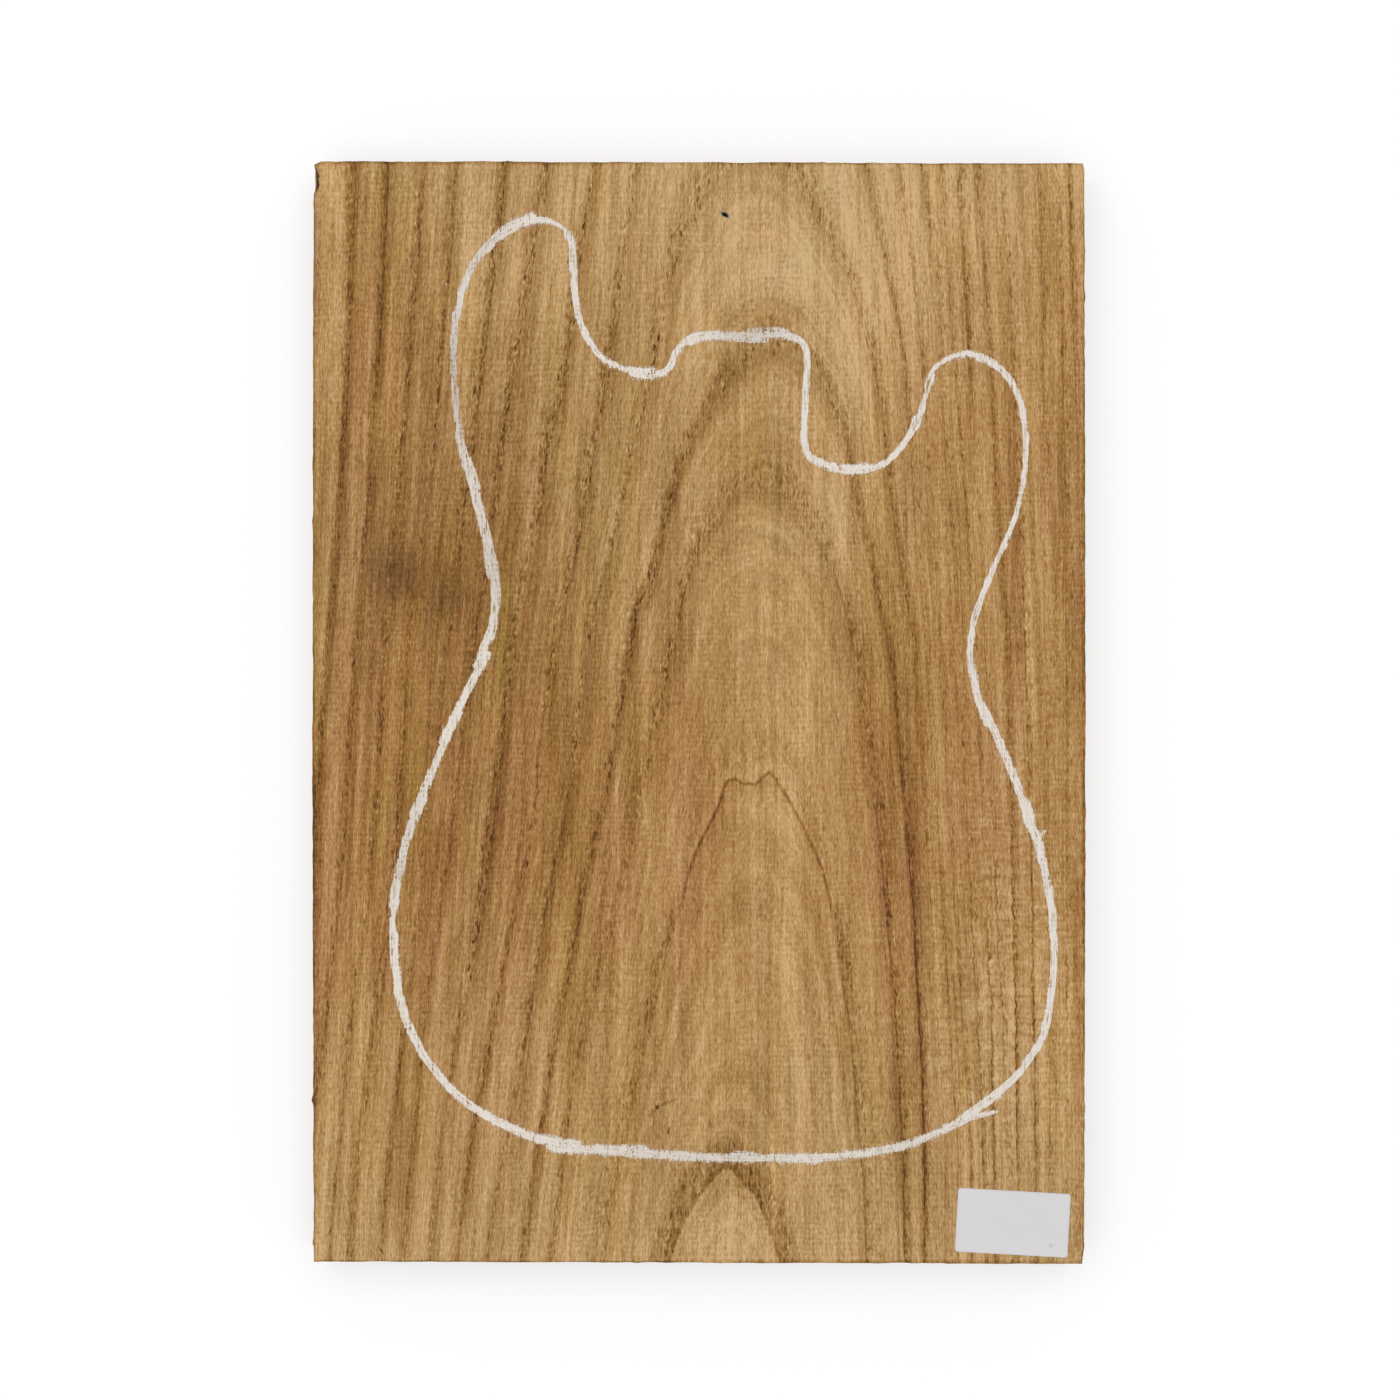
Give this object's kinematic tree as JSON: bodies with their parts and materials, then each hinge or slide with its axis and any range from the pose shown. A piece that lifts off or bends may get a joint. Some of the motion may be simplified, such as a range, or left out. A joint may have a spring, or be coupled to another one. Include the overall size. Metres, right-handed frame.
{
  "type": "electric guitar body blank",
  "caption": "Rectangular plain-sawn wooden blank with a double-cutaway body outline drawn in chalk on its face and a bare paper label near the tail end.",
  "frame": {"origin": "centre of the bounding box at the board's underside", "axes": "+Z out of the marked face, +Y along the grain towards the neck end, +X to the right seen from above with the neck end up"},
  "size_m": [0.3722, 0.5312, 0.0453],
  "materials": {
    "wood": "sawn and skip-planed, unsealed",
    "chalk": "dry chalk",
    "paper": "satin label paper",
    "adhesive": "clear acrylic glue film"
  },
  "bodies": {
    "root": {"board": "wood", "chalk_outline": "chalk", "label_paper": "paper", "label_adhesive": "adhesive"}
  },
  "joints": []
}
